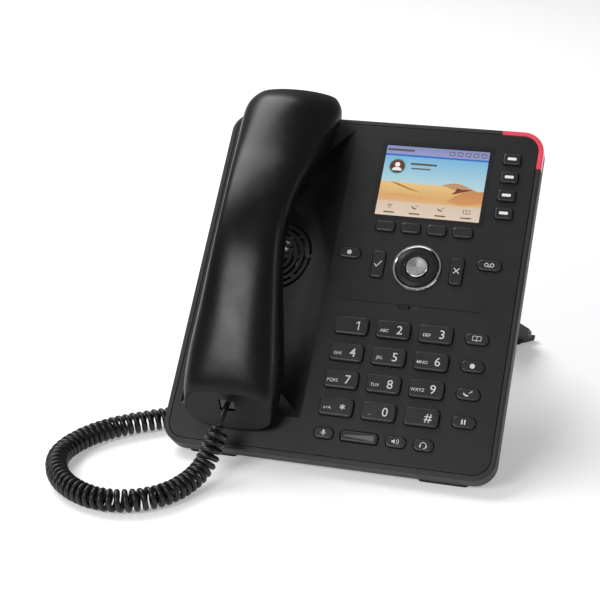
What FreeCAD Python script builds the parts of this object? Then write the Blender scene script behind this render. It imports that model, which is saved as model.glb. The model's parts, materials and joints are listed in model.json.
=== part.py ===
import FreeCAD, Part
import math
import os

Vec = FreeCAD.Vector

# Desk IP phone: a flat housing that leans back on a clip-on footstand,
# with a handset in a cradle on the left and a coiled handset cord.
#
# Every piece is drawn in the frame of the front cover and then placed:
#   x  to the right, 0 in the middle of the housing
#   y  up the face, 0 at the lower edge of the housing
#   n  out of the face, 0 on the flat of the front cover
# Placed, the face leans back by TILT and the pads stand on Z = 0.
# The origin is the middle of the footprint, without the cord. Millimetres.

# ---------------------------------------------------------------- housing
TILT = 46.0              # slope of the face above the table
WIDTH = 178.0
HEIGHT = 199.0
CORNER = 12.0
RIM = 2.7                # rear cover's rim round the front cover
GAP = 0.3                # seam between rim and front cover
WALL = 2.4
SIDE = 10.0              # straight part of the side wall
BACK = 21.0              # depth of the lower back panel
PAD = 1.9                # height of the rubber pads under the housing
PLATE = 2.5              # thickness of the front cover
LEDGE = 6.0              # depth of the front cover's skirt

SIN = math.sin(math.radians(TILT))
COS = math.cos(math.radians(TILT))
TAPER = (BACK - SIDE) * COS / SIN    # makes the underside level
LIFT = PAD + SIDE * COS              # face's lower edge above the table

# connector bay on the back
BAY_X = 76.0
BAY_Y0 = 92.0
BAY_Y1 = 170.0
BAY_BACK = 36.0

# ---------------------------------------------------------------- cradle
CRADLE_X = -50.8         # centre line of the cradle and the handset
CRADLE_ACROSS = [(-11.0, 1.1), (-15.6, 0.0), (-19.6, -1.5), (-25.0, -4.4),
                 (-31.5, -7.2), (-40.0, -8.9), (-51.0, -9.4), (-64.0, -8.6),
                 (-73.5, -6.2), (-79.5, -2.6), (-83.2, 1.6)]
CRADLE_ALONG = [(16.0, 1.4), (21.5, 0.0), (27.0, -2.4), (34.0, -6.2),
                (46.0, -10.4),
                (62.0, -12.5), (108.0, -13.2), (152.0, -12.5),
                (172.0, -10.4), (183.0, -6.4), (189.0, -2.8), (193.5, 1.6)]
CRADLE_WALL = 2.2
GRILLE = (-50.0, 116.0)
GRILLE_RADII = (6.4, 9.8, 13.2, 16.6, 20.0)
SLOT = 1.6

# ---------------------------------------------------------------- display
LCD = (31.5, 163.5)
LCD_SIZE = (57.6, 43.2)
WINDOW_SIZE = (62.4, 47.8)

# ---------------------------------------------------------------- keys
KEY_TRAVEL = 1.2
KEY_GAP = 0.35
FLANGE = 0.9
DIGIT_X = (2.5, 25.15, 47.8)
DIGIT_Y = (75.2, 60.0, 44.8, 29.6)
DIGIT_NAMES = (("key_1", "key_2", "key_3"),
               ("key_4", "key_5", "key_6"),
               ("key_7", "key_8", "key_9"),
               ("key_star", "key_0", "key_hash"))
SOFT_X = (10.3, 24.4, 38.6, 52.8)
SOFT_Y = 134.9
LINE_X = 72.9
LINE_Y = (181.0, 170.0, 159.0, 148.3)
SIDE_X = 69.5
SIDE_KEYS = (("directory_key", 75.3), ("menu_key", 60.1),
             ("transfer_key", 44.9), ("hold_key", 29.7))
# name, x, y, width, height, corner radius, rise above the face
OTHER_KEYS = (("mute_key", -1.5, 15.0, 10.6, 6.0, 2.9, 1.3),
              ("volume_rocker", 17.3, 15.0, 19.6, 5.6, 1.6, 1.3),
              ("speaker_key", 36.6, 15.0, 11.0, 6.0, 2.9, 1.3),
              ("headset_key", 51.1, 15.0, 10.6, 6.2, 2.9, 1.3),
              ("confirm_key", 10.2, 112.2, 6.9, 15.5, 1.6, 1.5),
              ("cancel_key", 53.0, 112.2, 6.9, 15.5, 1.6, 1.5),
              ("dnd_key", -6.5, 117.4, 12.5, 6.1, 2.9, 1.3),
              ("voicemail_key", 69.8, 117.4, 13.0, 6.2, 2.9, 1.3))
ROCKER = "volume_rocker"

NAV = (31.5, 112.4)
NAV_TRIM = (11.75, 13.3)
NAV_RING = (6.4, 11.35)
OK_RADIUS = 5.8

# ---------------------------------------------------------------- handset
# each section: lower point (y, n), upper point (y, n), half width, height
# of its widest line as a share of the section's height, and how square its
# back is
HANDSET = (((10.4, 2.9), (22.4, 24.0), 22.9, 0.42, 3.3),
           ((11.9, 1.1), (25.6, 26.8), 25.2, 0.40, 3.2),
           ((24.0, 1.5), (34.0, 30.4), 26.2, 0.38, 2.8),
           ((39.0, -3.0), (46.5, 34.6), 25.9, 0.54, 2.6),
           ((60.0, -3.4), (64.5, 39.2), 22.8, 0.68, 2.6),
           ((78.0, 5.4), (82.0, 44.8), 20.4, 0.72, 2.6),
           ((94.0, 16.8), (97.0, 48.4), 18.7, 0.72, 2.6),
           ((111.0, 21.2), (112.0, 49.4), 18.1, 0.72, 2.6),
           ((129.0, 19.2), (127.0, 48.6), 18.4, 0.72, 2.6),
           ((145.0, 8.6), (142.5, 45.4), 20.2, 0.72, 2.6),
           ((159.0, -2.2), (156.0, 40.6), 22.6, 0.70, 2.5),
           ((175.0, -4.6), (171.5, 37.4), 25.4, 0.56, 2.25),
           ((190.0, 0.5), (186.0, 34.6), 28.2, 0.36, 2.05),
           ((201.6, 1.8), (196.6, 30.4), 27.6, 0.28, 2.0),
           ((206.8, 4.6), (203.0, 22.8), 22.4, 0.26, 2.0))
SHELL = 2.2              # wall of the handset's shells
PARTING = 0.34           # height of the parting line, as a share
EAR_Y = 174.0
MOUTH_Y = 47.0

# ---------------------------------------------------------------- cord
WIRE = 3.2               # jacket of the cord
COIL = 12.2              # outside of its coils
PLUG = (7.6, 6.5)        # four-way modular plug
PLUG_CLEAR = 0.15
JACK_X = -60.0
JACK_N = -29.0
# route over the table: x, y from the face's lower edge, height
CORD_FREE = ((-52.2, -14.2, 21.8),
             (-55.4, -23.0, 9.4),
             (-59.8, -36.5, 6.3),
             (-67.0, -51.0, 6.2),
             (-80.0, -61.0, 6.3),
             (-97.0, -63.8, 6.2),
             (-115.0, -57.0, 6.3),
             (-128.8, -43.6, 6.2),
             (-136.2, -25.0, 6.3),
             (-131.6, -4.6, 6.2),
             (-120.0, 11.8, 6.3),
             (-104.4, 24.6, 6.2),
             (-88.4, 34.6, 6.3),
             (-74.6, 46.0, 7.2),
             (-65.0, 55.2, 15.2))
COIL_FROM = 1            # the coil starts on the run before this point
COIL_TO = 12             # and ends on the run after this one

# ---------------------------------------------------------------- stand
LEG_Y = (122.0, 126.0)   # the stand's plate where it meets the housing
LEG_ROOT = 60.0
LEG_LEAN = 5.0           # lean of the plate towards the back, in degrees
LEG_SIDE = ((60.0, -36.4), (65.5, -92.0), (74.8, -120.0), (79.6, -130.5),
            (80.6, -138.0), (77.0, -145.0))
STAND_SLIDE = 8.0
FOOT_X = 81.5
FOOT = ((193.6, PAD), (203.6, PAD), (204.6, 2.9), (204.4, 3.6),
        (201.0, 5.0), (194.4, 4.8))
FOOT_CORNER = (75.0, 199.6)     # where its trimmed front corners start


# ---------------------------------------------------------------- helpers
def box(x0, x1, y0, y1, n0, n1):
    return Part.makeBox(x1 - x0, y1 - y0, n1 - n0, Vec(x0, y0, n0))


def rounded(cx, cy, w, h, r, n):
    """Rounded rectangle, a wire parallel to the face at height n."""
    r = min(r, w / 2 - 0.01, h / 2 - 0.01)
    x0, x1 = cx - w / 2, cx + w / 2
    y0, y1 = cy - h / 2, cy + h / 2
    k = r * (1 - math.sqrt(0.5))
    edges = []
    corners = (((x0 + r, y0), (x1 - r, y0), (x1 - k, y0 + k), (x1, y0 + r)),
               ((x1, y0 + r), (x1, y1 - r), (x1 - k, y1 - k), (x1 - r, y1)),
               ((x1 - r, y1), (x0 + r, y1), (x0 + k, y1 - k), (x0, y1 - r)),
               ((x0, y1 - r), (x0, y0 + r), (x0 + k, y0 + k), (x0 + r, y0)))
    for a, b, c, d in corners:
        a, b, c, d = (Vec(p[0], p[1], n) for p in (a, b, c, d))
        edges.append(Part.LineSegment(a, b).toShape())
        edges.append(Part.Arc(b, c, d).toShape())
    return Part.Wire(edges)


def slab(cx, cy, w, h, r, n0, n1):
    face = Part.Face(rounded(cx, cy, w, h, r, n0))
    return face.extrude(Vec(0, 0, n1 - n0))


def frustum(cx, cy, w, h, r, n0, n1, inset):
    """Rounded block whose outline shrinks by inset from n0 to n1."""
    a = rounded(cx, cy, w, h, r, n0)
    b = rounded(cx, cy, w - 2 * inset, h - 2 * inset, r, n1)
    return Part.makeLoft([a, b], True, True)


def fillet_at(shape, n, r):
    """Round every edge that lies at height n."""
    edges = []
    for e in shape.Edges:
        b = e.BoundBox
        if abs(b.ZMin - n) < 1e-4 and abs(b.ZMax - n) < 1e-4:
            edges.append(e)
    return shape.makeFillet(r, edges)


def disc(cx, cy, r, n0, n1):
    return Part.makeCylinder(r, n1 - n0, Vec(cx, cy, n0))


def turned(cx, cy, profile):
    """Solid of revolution about the face normal at (cx, cy)."""
    pts = [Vec(r, 0, n) for r, n in profile]
    wire = Part.makePolygon(pts + [pts[0]])
    solid = Part.Face(wire).revolve(Vec(0, 0, 0), Vec(0, 0, 1), 360)
    solid.translate(Vec(cx, cy, 0))
    return solid


def prism_y(points, y0, y1):
    """Polygon in (x, n), run along y."""
    pts = [Vec(x, y0, n) for x, n in points]
    face = Part.Face(Part.makePolygon(pts + [pts[0]]))
    return face.extrude(Vec(0, y1 - y0, 0))


def prism_x(points, x0, x1):
    """Polygon in (y, n), run along x."""
    pts = [Vec(x0, y, n) for y, n in points]
    face = Part.Face(Part.makePolygon(pts + [pts[0]]))
    return face.extrude(Vec(x1 - x0, 0, 0))


def fuse(shapes):
    out = shapes[0].multiFuse(shapes[1:])
    return out.removeSplitter()


def one_solid(shape):
    """The largest solid of a boolean's result."""
    return max(shape.Solids, key=lambda s: s.Volume)


def place(shape):
    """From the face's frame to the table's."""
    out = shape.copy()
    out.rotate(Vec(0, 0, 0), Vec(1, 0, 0), TILT)
    out.translate(Vec(0, 0, LIFT))
    return out


def to_table(x, y, n):
    return Vec(x, y * COS - n * SIN, y * SIN + n * COS + LIFT)


# ---------------------------------------------------------------- cradle
def offset_line(points, d):
    """Points of an open line, moved by d to its right-hand side."""
    out = []
    last = len(points) - 1
    for i, (a, b) in enumerate(points):
        p = points[max(i - 1, 0)]
        q = points[min(i + 1, last)]
        length = math.hypot(q[0] - p[0], q[1] - p[1])
        out.append((a + d * (q[1] - p[1]) / length,
                    b - d * (q[0] - p[0]) / length))
    return out


def dished(points, along_y, top, lo, hi):
    """Bowl section below the line top, run between lo and hi."""
    if along_y:
        pts = [Vec(a, lo, n) for a, n in points]
        step = Vec(0, hi - lo, 0)
    else:
        pts = [Vec(lo, a, n) for a, n in points]
        step = Vec(hi - lo, 0, 0)
    curve = Part.BSplineCurve()
    curve.interpolate(pts)
    first, last = pts[0], pts[-1]
    a = Vec(last.x, last.y, top)
    b = Vec(first.x, first.y, top)
    edges = [curve.toShape(),
             Part.LineSegment(last, a).toShape(),
             Part.LineSegment(a, b).toShape(),
             Part.LineSegment(b, first).toShape()]
    return Part.Face(Part.Wire(edges)).extrude(step)


def cradle(thick):
    """The cradle's hollow, grown by thick on its underside."""
    across = offset_line(CRADLE_ACROSS, -thick)
    along = offset_line(CRADLE_ALONG, thick)
    a = dished(across, True, 5.0, 10.0, 198.0)
    b = dished(along, False, 5.0, -88.0, -10.0)
    return one_solid(a.common(b))


def ring_slots():
    """Concentric sound slots with a web every so often."""
    cuts = []
    for i, r in enumerate(GRILLE_RADII):
        n0, n1 = -16.0, -4.0
        outer = disc(GRILLE[0], GRILLE[1], r + SLOT / 2, n0, n1)
        ring = outer.cut(disc(GRILLE[0], GRILLE[1], r - SLOT / 2, n0, n1))
        webs = 3 if i < 2 else 4
        for k in range(webs):
            web = box(0, r + 4, -1.1, 1.1, n0, n1)
            angle = 360.0 * k / webs + 45.0 * (i % 2)
            web.rotate(Vec(0, 0, 0), Vec(0, 0, 1), angle)
            web.translate(Vec(GRILLE[0], GRILLE[1], 0))
            ring = ring.cut(web)
        cuts.extend(ring.Solids)
    return cuts


# ---------------------------------------------------------------- keys
def key_table():
    """Every key: name, x, y, width, height, corner, rise."""
    rows = []
    for names, y in zip(DIGIT_NAMES, DIGIT_Y):
        for name, x in zip(names, DIGIT_X):
            rows.append((name, x, y, 18.0, 9.8, 2.0, 2.2))
    for i, x in enumerate(SOFT_X):
        rows.append(("soft_key_%d" % (i + 1), x, SOFT_Y, 10.6, 5.9, 1.9, 1.5))
    for i, y in enumerate(LINE_Y):
        rows.append(("line_key_%d" % (i + 1), LINE_X, y, 9.5, 6.5, 1.2, 1.5))
    for name, y in SIDE_KEYS:
        rows.append((name, SIDE_X, y, 12.4, 6.2, 2.9, 1.3))
    rows.extend(OTHER_KEYS)
    return rows


def key_cap(row):
    name, x, y, w, h, r, rise = row
    top = -2.8
    if name == ROCKER:
        top = -3.9
    cap = slab(x, y, w, h, r, top - 0.5, rise)
    cap = fillet_at(cap, rise, min(0.9, 0.28 * h))
    flange = slab(x, y, w + 2 * FLANGE, h + 2 * FLANGE, r, top - 1.5, top)
    stem = slab(x, y, 2.4, 2.4, 1.0, top - 2.0, top - 1.4)
    key = fuse([cap, flange, stem])
    if name.startswith("line_key"):
        lens = slab(x, y, 5.2, 1.9, 0.6, rise - 0.35, rise + 0.1)
        key = key.cut(lens)
    if name == ROCKER:
        for side in (-1, 1):
            dip = slab(x + side * 6.2, y, 4.0, 0.7, 0.3, rise - 0.25, rise + 1)
            key = key.cut(dip)
    return one_solid(key)


def key_hole(row):
    name, x, y, w, h, r, rise = row
    gap = KEY_GAP
    if name == ROCKER:
        gap = 0.55
    return slab(x, y, w + 2 * gap, h + 2 * gap, r + gap, -4.0, 1.0)


# ---------------------------------------------------------------- covers
SCREWS = ((-72.0, 16.5), (72.0, 16.5), (-74.0, 180.0), (78.0, 126.0))
FACE_W = WIDTH - 2 * RIM - 2 * GAP
FACE_H = HEIGHT - 2 * RIM - 2 * GAP
MID = HEIGHT / 2


def housing_outside():
    tub = slab(0, MID, WIDTH, HEIGHT, CORNER, -SIDE, 0)
    tub = fillet_at(tub, 0.0, 1.1)
    low = frustum(0, MID, WIDTH, HEIGHT, CORNER, -SIDE, -BACK, TAPER)
    bay = slab(0, (BAY_Y0 + BAY_Y1) / 2, 2 * BAY_X, BAY_Y1 - BAY_Y0, 8.0,
               -BAY_BACK, -BACK + 2)
    bay = fillet_at(bay, -BAY_BACK, 2.0)
    return tub.fuse(low).fuse(bay)


def housing_inside():
    w = WIDTH - 2 * RIM
    h = HEIGHT - 2 * RIM
    seat = 2.0
    mouth = slab(0, MID, w, h, 9.3, -LEDGE, 2)
    body = slab(0, MID, w - 2 * seat, h - 2 * seat, 7.5, -SIDE, -LEDGE + 1)
    floor = -BACK + WALL
    inset = TAPER * (-SIDE - floor) / (BACK - SIDE)
    low = frustum(0, MID, w - 2 * seat, h - 2 * seat, 7.5, -SIDE, floor, inset)
    bay = slab(0, (BAY_Y0 + BAY_Y1) / 2, 2 * (BAY_X - WALL),
               BAY_Y1 - BAY_Y0 - 2 * WALL, 5.6, -BAY_BACK + WALL, -SIDE)
    return mouth.fuse(body).fuse(low).fuse(bay)


def lens_region(gap):
    """Top right corner of the rim, where the message light shows."""
    region = box(65.3 - gap, 95, 176.8 - gap, 205, -5.2 - gap, 2)
    inner = slab(0, MID, WIDTH - 2 * RIM, HEIGHT - 2 * RIM, 9.3, -8, 4)
    return region.cut(inner)


JACKS = ((JACK_X, PLUG[0], PLUG[1], 10.5), (-44.0, PLUG[0], PLUG[1], 10.5),
         (-24.0, 11.7, 8.0, 13.0), (-7.0, 11.7, 8.0, 13.0))
POWER_X = 13.0


def socket(x, w, h, y0, y1, grow):
    w = w + 2 * grow
    h = h + 2 * grow
    return box(x - w / 2, x + w / 2, y0, y1, JACK_N - h / 2, JACK_N + h / 2)


def build_rear_cover(outside, inside):
    cover = outside.cut(inside).cut(lens_region(0.1))
    posts = []
    holes = []
    for x, y in SCREWS:
        posts.append(disc(x, y, 4.2, -BACK + 1.0, -12.1))
        holes.append(disc(x, y, 1.5, -BACK - 1, -10))
        holes.append(disc(x, y, 2.9, -BACK - 1, -BACK + 3.4))
    cover = cover.multiFuse(posts)
    # the bay's lower wall holds the sockets
    for x, w, h, depth in JACKS:
        holes.append(socket(x, w, h, BAY_Y0 - 1, BAY_Y0 + WALL + 1, 0.6))
    barrel = Part.makeCylinder(3.9, WALL + 2, Vec(POWER_X, BAY_Y0 - 1, JACK_N),
                               Vec(0, 1, 0))
    holes.append(barrel)
    # keyed slots for the stand's hooks
    for x in STAND_HOOKS:
        holes.append(box(x - 4.4, x + 4.4, LEG_Y[0] - STAND_SLIDE - 0.4,
                         LEG_Y[1] + 0.4, -BAY_BACK - 1, -BAY_BACK + WALL + 1))
    # vents above the stand
    for i in range(9):
        x = -48.0 + 12.0 * i
        vent = slab(x, 155.0, 2.4, 16.0, 1.1, -BAY_BACK - 1,
                    -BAY_BACK + WALL + 1)
        holes.append(vent)
    for x in (-44.0, 44.0):
        pocket = slab(x, 44.0, 12.0, 12.0, 3.0, -BACK - 1, -BACK + 1.0)
        holes.append(pocket)
    return one_solid(cover.cut(holes))


def build_front_cover(keys):
    plate = slab(0, MID, FACE_W, FACE_H, 9.0, -PLATE, 0)
    plate = fillet_at(plate, 0.0, 0.4)
    skirt = slab(0, MID, FACE_W, FACE_H, 9.0, -LEDGE, -PLATE + 0.1)
    skirt = skirt.cut(slab(0, MID, FACE_W - 3.6, FACE_H - 3.6, 7.2,
                           -LEDGE - 1, 1))
    bowl = cradle(CRADLE_WALL)
    bowl = bowl.cut(box(-95, 0, 0, 205, -1.0, 20))
    bosses = [disc(x, y, 3.6, -11.9, -1.5) for x, y in SCREWS]
    cover = plate.multiFuse([skirt, bowl] + bosses)
    cuts = [cradle(0.0)]
    for row in keys:
        cuts.append(key_hole(row))
    cuts.append(disc(NAV[0], NAV[1], NAV_TRIM[1] + 0.1, -PLATE - 1, 1))
    w, h = WINDOW_SIZE
    cuts.append(slab(LCD[0], LCD[1], w + 0.2, h + 0.2, 1.6, -1.3, 1))
    cuts.append(slab(LCD[0], LCD[1], w - 2.4, h - 2.4, 0.8, -4, 0))
    for x, y in SCREWS:
        cuts.append(disc(x, y, 1.28, -13, -3.4))
    # seam line with the hands-free microphone's notch
    cuts.append(box(-6.5, 69.0, 90.05, 90.6, -0.4, 1))
    scoop = Part.makeSphere(26.0, Vec(30.9, 89.0, 25.1))
    cuts.append(scoop.common(slab(30.9, 89.2, 11.6, 3.4, 1.5, -2, 1)))
    cuts.append(disc(30.9, 89.4, 0.7, -4, 1))
    # openings in the cradle's floor: grille, hook switch, rest hook
    cuts.extend(ring_slots())
    cuts.append(box(CRADLE_X - 4.6, CRADLE_X + 4.6, 150.4, 167.6, -20, -4))
    cuts.append(box(CRADLE_X - 5.1, CRADLE_X + 5.1, 142.9, 145.6, -14, -5))
    return one_solid(cover.cut(cuts))


# ---------------------------------------------------------------- stand
STAND_HOOKS = (-50.0, -20.0, 20.0, 50.0)


def build_footstand():
    root = -BAY_BACK - 0.4
    outline = list(LEG_SIDE) + [(-x, n) for x, n in reversed(LEG_SIDE)]
    window = [(-LEG_ROOT + 17, -BAY_BACK - 16), (LEG_ROOT - 17, -BAY_BACK - 16),
              (LEG_ROOT - 8, -122.0), (-LEG_ROOT + 8, -122.0)]
    leg = prism_y(outline, LEG_Y[0], LEG_Y[1])
    leg = leg.cut(prism_y(window, LEG_Y[0] - 5, LEG_Y[1] + 5))
    rib = [(LEG_Y[0] + 1.0, root + 0.5), (LEG_Y[0] - 5.0, root + 0.5),
           (LEG_Y[0] - 5.0, root - 5.0), (LEG_Y[0] + 1.0, -118.0)]
    leaning = [leg]
    for x in (-56.0, 56.0):
        leaning.append(prism_x(rib, x - 1.2, x + 1.2))
    pieces = []
    for piece in leaning:
        piece.rotate(Vec(0, LEG_Y[0] + 2.0, root), Vec(1, 0, 0), LEG_LEAN)
        pieces.append(piece)
    pieces.append(box(-LEG_ROOT, LEG_ROOT, LEG_Y[0] - 6, LEG_Y[1] + 6,
                      root - 2.4, root))
    for x in STAND_HOOKS:
        pieces.append(box(x - 4.0, x + 4.0, LEG_Y[0], LEG_Y[1],
                          root - 0.5, -BAY_BACK + WALL + 0.5))
        pieces.append(box(x - 4.0, x + 4.0, LEG_Y[0], LEG_Y[1] + 5.6,
                          -BAY_BACK + WALL + 0.4, -BAY_BACK + WALL + 2.6))
    # the foot's section is level with the table, so it is turned back
    section = []
    for y, z in FOOT:
        z = z - LIFT
        section.append((y * COS + z * SIN, -y * SIN + z * COS))
    pieces.append(prism_x(section, -FOOT_X, FOOT_X))
    stand = pieces[0]
    for piece in pieces[1:]:
        stand = stand.fuse(piece)
    stand = place(one_solid(stand))
    x, y = FOOT_CORNER
    for side in (-1, 1):
        corner = [Vec(side * x, 190.0, 0), Vec(side * (FOOT_X + 2), 190.0, 0),
                  Vec(side * (FOOT_X + 2), y + 1.5, 0),
                  Vec(side * FOOT_X, y, 0), Vec(side * x, 193.6, 0)]
        face = Part.Face(Part.makePolygon(corner + [corner[0]]))
        stand = stand.cut(face.extrude(Vec(0, 0, 6.5)))
    return one_solid(stand)


def table_pad(cx, cy, w, h, z1):
    pad = slab(cx, cy, w, h, 2.0, 0, z1)
    return fillet_at(pad, 0.0, 0.5)


# ---------------------------------------------------------------- handset
def section(lower, upper, half, belly, square, inset):
    """Ring of control points round one station of the handset."""
    ly, ln = lower
    uy, un = upper
    size = math.hypot(uy - ly, un - ln)
    dy, dn = (uy - ly) / size, (un - ln) / size
    my, mn = ly + dy * size * belly, ln + dn * size * belly
    above = size * (1 - belly) - inset
    below = size * belly - inset
    wide = half - inset
    ring = []
    count = 28
    for k in range(count):
        a = 2 * math.pi * (k + 0.5) / count
        c, s = math.cos(a), math.sin(a)
        power = square if s > 0 else 2.5
        x = wide * math.copysign(abs(c) ** (2 / power), c)
        tall = above if s > 0 else below
        t = tall * math.copysign(abs(s) ** (2 / power), s)
        ring.append(Vec(CRADLE_X + x, my + dy * t, mn + dn * t))
    return ring


def handset_solid(inset):
    """Smooth skin over the stations, closed by a flat face at each end."""
    rings = []
    last = len(HANDSET) - 1
    for i, (lower, upper, half, belly, square) in enumerate(HANDSET):
        shift = 0.0
        if i == 0:
            shift = inset
        if i == last:
            shift = -inset
        size = math.hypot(upper[0] - lower[0], upper[1] - lower[1])
        ty = (upper[1] - lower[1]) / size * shift
        tn = -(upper[0] - lower[0]) / size * shift
        lo = (lower[0] + ty, lower[1] + tn)
        up = (upper[0] + ty, upper[1] + tn)
        rings.append(section(lo, up, half, belly, square, inset))
    around = len(rings[0])
    along = len(rings)
    u_knots = [float(k) for k in range(around + 1)]
    v_knots = [float(k) for k in range(along - 2)]
    v_mults = [4] + [1] * (along - 4) + [4]
    poles = [[rings[i][k] for i in range(along)] for k in range(around)]
    skin = Part.BSplineSurface()
    skin.buildFromPolesMultsKnots(poles, [1] * (around + 1), v_mults,
                                  u_knots, v_knots, True, False, 3, 3)
    side = skin.toShape()
    caps = []
    for v in (v_knots[0], v_knots[-1]):
        caps.append(Part.Face(Part.Wire(skin.vIso(v).toShape())))
    shell = Part.makeCompound([side] + caps)
    shell.sewShape(1e-4)
    solid = Part.Solid(shell.Shells[0])
    if solid.Volume < 0:
        solid.reverse()
    return solid


def parting_block():
    """Everything above the handset's parting line."""
    pts = [(-20.0, 8.0)]
    for lower, upper, half, belly, square in HANDSET[1:-1]:
        pts.append((lower[0] + (upper[0] - lower[0]) * PARTING,
                    lower[1] + (upper[1] - lower[1]) * PARTING))
    pts.append((230.0, pts[-1][1] + 1.0))
    pts.extend([(230.0, 80.0), (-20.0, 80.0)])
    return prism_x(pts, CRADLE_X - 45, CRADLE_X + 45)


def handset_axis():
    """Socket in the mouth end: centre on the end face, way out."""
    (ly, ln), (uy, un) = HANDSET[0][:2]
    share = 0.66
    size = math.hypot(uy - ly, un - ln)
    centre = (ly + (uy - ly) * share, ln + (un - ln) * share)
    out = (-(un - ln) / size, (uy - ly) / size)
    return centre, out


def along_axis(w, h, inner, outer):
    """Block on the socket's axis, between two depths into the handset."""
    (cy, cn), (oy, on) = handset_axis()
    block = Part.makeBox(w, h, outer - inner, Vec(-w / 2, -h / 2, inner))
    angle = math.degrees(math.atan2(-oy, on))
    block.rotate(Vec(0, 0, 0), Vec(1, 0, 0), angle)
    block.translate(Vec(CRADLE_X, cy, cn))
    return block


def build_handset():
    outer = handset_solid(0.0)
    inner = handset_solid(SHELL)
    shell = outer.cut(inner)
    upper = parting_block()
    back = shell.common(upper)
    back = back.cut(along_axis(PLUG[0] + 0.8, PLUG[1] + 0.8, -8.0, 3.0))
    front = shell.cut(upper)
    holes = []
    for ring, count in ((0.0, 1), (4.2, 6), (8.2, 12)):
        for k in range(count):
            a = 2 * math.pi * k / count
            holes.append(disc(CRADLE_X + ring * math.cos(a),
                              EAR_Y + ring * math.sin(a), 0.9, -12, 2))
    for dx in (-3.0, 0.0, 3.0):
        holes.append(disc(CRADLE_X + dx, MOUTH_Y, 0.9, -12, 2))
    front = front.cut(holes)
    return one_solid(back), one_solid(front)


# ---------------------------------------------------------------- cord
def arc_radius(a, b, c):
    """Radius of the arc that rounds point b of the route."""
    u = (a - b)
    v = (c - b)
    turn = math.pi - u.getAngle(v)
    return 0.45 * min(u.Length, v.Length) / math.tan(turn / 2)


def route_wire(points):
    """Straight runs joined by tangent arcs."""
    edges = []
    start = points[0]
    for a, b, c in zip(points, points[1:], points[2:]):
        radius = arc_radius(a, b, c)
        u = (a - b).normalize()
        v = (c - b).normalize()
        turn = math.pi - u.getAngle(v)
        reach = radius * math.tan(turn / 2)
        p = b + u * reach
        q = b + v * reach
        middle = (u + v).normalize()
        depth = radius / math.cos(turn / 2) - radius
        edges.append(Part.LineSegment(start, p).toShape())
        edges.append(Part.Arc(p, b + middle * depth, q).toShape())
        start = q
    edges.append(Part.LineSegment(start, points[-1]).toShape())
    return Part.Wire(edges)


def tube(points, diameter):
    wire = route_wire(points)
    axis = (points[1] - points[0]).normalize()
    ring = Part.Wire(Part.makeCircle(diameter / 2, points[0], axis))
    return wire.makePipeShell([ring], True, False), wire.Length


def cord_route():
    (cy, cn), (oy, on) = handset_axis()
    plug_end = to_table(CRADLE_X, cy - oy * 1.0, cn - on * 1.0)
    ahead = to_table(CRADLE_X, cy + oy * 7.5, cn + on * 7.5)
    points = [plug_end, ahead]
    points += [Vec(*p) for p in CORD_FREE]
    points.append(to_table(JACK_X, BAY_Y0 - 23.5, JACK_N))
    points.append(to_table(JACK_X, BAY_Y0 - 9.0, JACK_N))
    return points


def build_cord():
    points = cord_route()
    first = 2 + COIL_FROM
    last = 2 + COIL_TO
    start = points[first - 1] * 0.7 + points[first] * 0.3
    end = (points[last] + points[last + 1]) * 0.5
    parts = {"cord_tail_upper": (points[:first] + [start], WIRE),
             "handset_cord": ([start] + points[first:last + 1] + [end], COIL),
             "cord_tail_lower": ([end] + points[last + 1:], WIRE)}
    out = {}
    for name, (pts, d) in parts.items():
        solid, length = tube(pts, d)
        radii = [arc_radius(*p) for p in zip(pts, pts[1:], pts[2:])]
        expect = math.pi * d * d / 4 * length
        print(name, "length %.1f" % length, "volume share %.4f"
              % (solid.Volume / expect), "radii",
              " ".join("%.1f" % r for r in radii))
        out[name] = solid
    return out


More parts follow.
